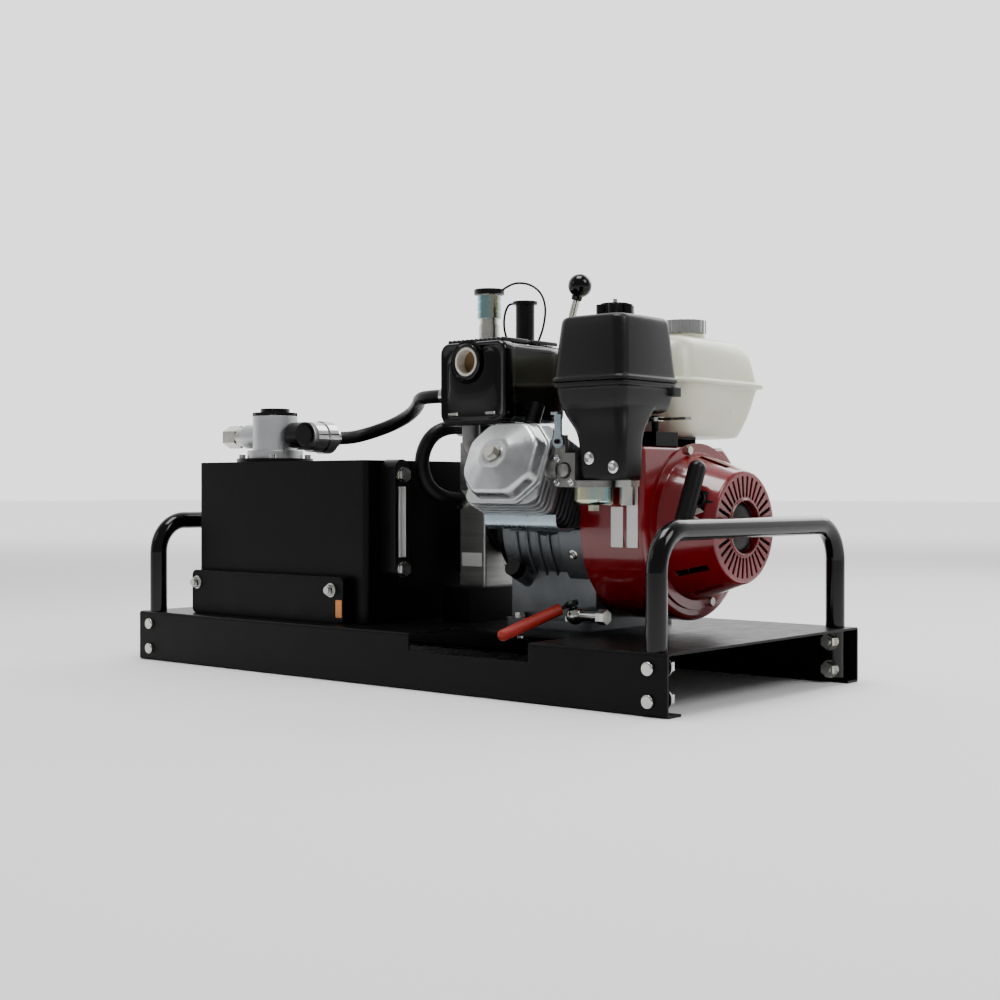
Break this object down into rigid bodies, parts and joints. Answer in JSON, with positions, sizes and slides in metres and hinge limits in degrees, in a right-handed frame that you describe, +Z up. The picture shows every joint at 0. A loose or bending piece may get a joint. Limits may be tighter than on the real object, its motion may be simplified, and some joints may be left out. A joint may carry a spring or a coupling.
{
  "type": "hydraulic power unit",
  "caption": "Petrol-engine hydraulic power unit on a folded steel skid with oil reservoir, gear pump, control valve, return filter and two carrying handles.",
  "frame": {"origin": "centre of the skid's footprint, on the floor", "axes": "+X along the skid towards the recoil starter, -Y towards the cylinder side, +Z up"},
  "size_m": [0.95, 0.453, 0.5458],
  "materials": {
    "powder_black": "satin powder coat",
    "gloss_black": "gloss enamel",
    "zinc": "bright zinc plate",
    "black_plastic": "moulded, fine grain",
    "charcoal_plastic": "moulded, satin",
    "cast_aluminium": "as cast",
    "machined_aluminium": "milled",
    "dark_casting": "painted casting",
    "red_enamel": "gloss enamel",
    "rubber_black": "satin rubber",
    "red_vinyl": "dipped vinyl",
    "cream_plastic": "translucent moulding",
    "steel": "machined",
    "chrome": "plated",
    "paper": "pleated filter paper",
    "iron": "machined casting"
  },
  "bodies": {
    "base": {"skid_deck": "powder_black", "engine_end_handle": "gloss_black", "tank_end_handle": "gloss_black", "handle_bolts": "zinc", "tank_shell": "powder_black", "tank_clamps": "powder_black", "tank_fasteners": "zinc", "level_gauge": "black_plastic", "filter_flange": "black_plastic", "filter_head": "cast_aluminium", "filter_element": "paper", "filter_plug_and_gauge": "zinc", "return_hose": "rubber_black", "pressure_hose": "rubber_black", "hose_fittings": "chrome", "pedestal": "powder_black", "pump_housing": "machined_aluminium", "pump_adapter": "powder_black", "pump_fasteners": "zinc", "valve_body": "powder_black", "lever_bracket": "powder_black", "quick_couplers": "zinc", "cap_tethers": "rubber_black", "crankcase": "dark_casting", "crankcase_cover": "dark_casting", "engine_fasteners": "zinc", "main_bearings": "steel", "piston": "machined_aluminium", "cylinder_head": "cast_aluminium", "valve_cover": "machined_aluminium", "spark_plug": "rubber_black", "fan_shroud": "red_enamel", "starter_housing": "red_enamel", "fuel_tank": "cream_plastic", "engine_brackets": "powder_black", "air_cover": "charcoal_plastic", "air_base": "charcoal_plastic", "carburetor": "cast_aluminium", "muffler": "gloss_black", "exhaust_pipe": "steel", "drain_valve": "zinc"},
    "crank_train": {"crankshaft": "steel", "flywheel": "iron", "shaft_coupling": "iron", "pump_drive_gear": "steel"},
    "idler_gear": {"pump_idler_gear": "steel"},
    "control_lever": {"valve_lever": "zinc"},
    "spool": {"valve_spool": "steel"},
    "collar": {"coupler_collar": "zinc"},
    "socket_cap": {"coupler_cap": "black_plastic"},
    "plug_cap": {"nipple_cap": "black_plastic"},
    "filler_cap": {"fuel_cap": "chrome"},
    "lid_knob": {"air_knob": "black_plastic"},
    "filter_lid": {"filter_cap": "black_plastic"},
    "pull_grip": {"starter_grip": "black_plastic"},
    "rope_reel": {"starter_pulley": "black_plastic"},
    "throttle": {"throttle_lever": "zinc"},
    "choke": {"choke_lever": "zinc"},
    "dipstick": {"oil_dipstick": "black_plastic"},
    "drain_handle": {"drain_lever": "red_vinyl"}
  },
  "joints": [
    {"name": "crank_spin", "type": "hinge", "parent": "base", "child": "crank_train", "pos_m": [0.186, 0.028, 0.206], "axis": [1, 0, 0], "continuous": true},
    {"name": "idler_spin", "type": "hinge", "parent": "base", "child": "idler_gear", "pos_m": [-0.008, 0.028, 0.17], "axis": [1, 0, 0], "continuous": true},
    {"name": "lever_swing", "type": "hinge", "parent": "base", "child": "control_lever", "pos_m": [0.127, 0.025, 0.412], "axis": [0, 1, 0], "range_deg": [-14, 14], "stiffness_Nm_per_rad": 2},
    {"name": "spool_travel", "type": "slide", "parent": "base", "child": "spool", "axis": [1, 0, 0], "range_m": [-0.006, 0.006]},
    {"name": "collar_pull", "type": "slide", "parent": "base", "child": "collar", "axis": [0, 0, 1], "range_m": [-0.008, 0], "stiffness_N_per_m": 1200, "springref_m": 0.004},
    {"name": "socket_cap_lift", "type": "slide", "parent": "base", "child": "socket_cap", "axis": [0, 0, 1], "range_m": [0, 0.06]},
    {"name": "plug_cap_lift", "type": "slide", "parent": "base", "child": "plug_cap", "axis": [0, 0, 1], "range_m": [0, 0.08]},
    {"name": "filler_cap_turn", "type": "hinge", "parent": "base", "child": "filler_cap", "pos_m": [0.27, 0.117, 0.463], "axis": [0, 0, 1], "range_deg": [0, 90]},
    {"name": "lid_knob_turn", "type": "hinge", "parent": "base", "child": "lid_knob", "pos_m": [0.298, -0.077, 0.468], "axis": [0, 0, 1], "range_deg": [0, 1080]},
    {"name": "filter_lid_turn", "type": "hinge", "parent": "base", "child": "filter_lid", "pos_m": [-0.312, -0.098, 0.362], "axis": [0, 0, 1], "range_deg": [0, 720]},
    {"name": "reel_turn", "type": "hinge", "parent": "base", "child": "rope_reel", "pos_m": [0.399, 0.028, 0.206], "axis": [1, 0, 0], "range_deg": [0, 1145]},
    {"name": "grip_pull", "type": "slide", "parent": "base", "child": "pull_grip", "axis": [0, -0.9063, 0.4226], "range_m": [0, 0.6]},
    {"name": "throttle_swing", "type": "hinge", "parent": "base", "child": "throttle", "pos_m": [0.334, -0.042, 0.34], "axis": [0, 0, 1], "range_deg": [-20, 20]},
    {"name": "choke_swing", "type": "hinge", "parent": "base", "child": "choke", "pos_m": [0.2616, -0.146, 0.312], "axis": [0, 1, 0], "range_deg": [0, 60]},
    {"name": "dipstick_turn", "type": "hinge", "parent": "base", "child": "dipstick", "pos_m": [0.136, -0.052, 0.138], "axis": [0, -0.9063, 0.4226], "range_deg": [0, 720]},
    {"name": "drain_turn", "type": "hinge", "parent": "base", "child": "drain_handle", "pos_m": [0.241, -0.084, 0.094], "axis": [-0.1418, -0.3184, 0.9373], "range_deg": [0, 66]}
  ],
  "couplings": [
    {"joint": "idler_spin", "follows": "crank_spin", "ratio": -1},
    {"joint": "spool_travel", "follows": "lever_swing", "m_per_rad": -0.023},
    {"joint": "grip_pull", "follows": "reel_turn", "m_per_rad": 0.03}
  ]
}
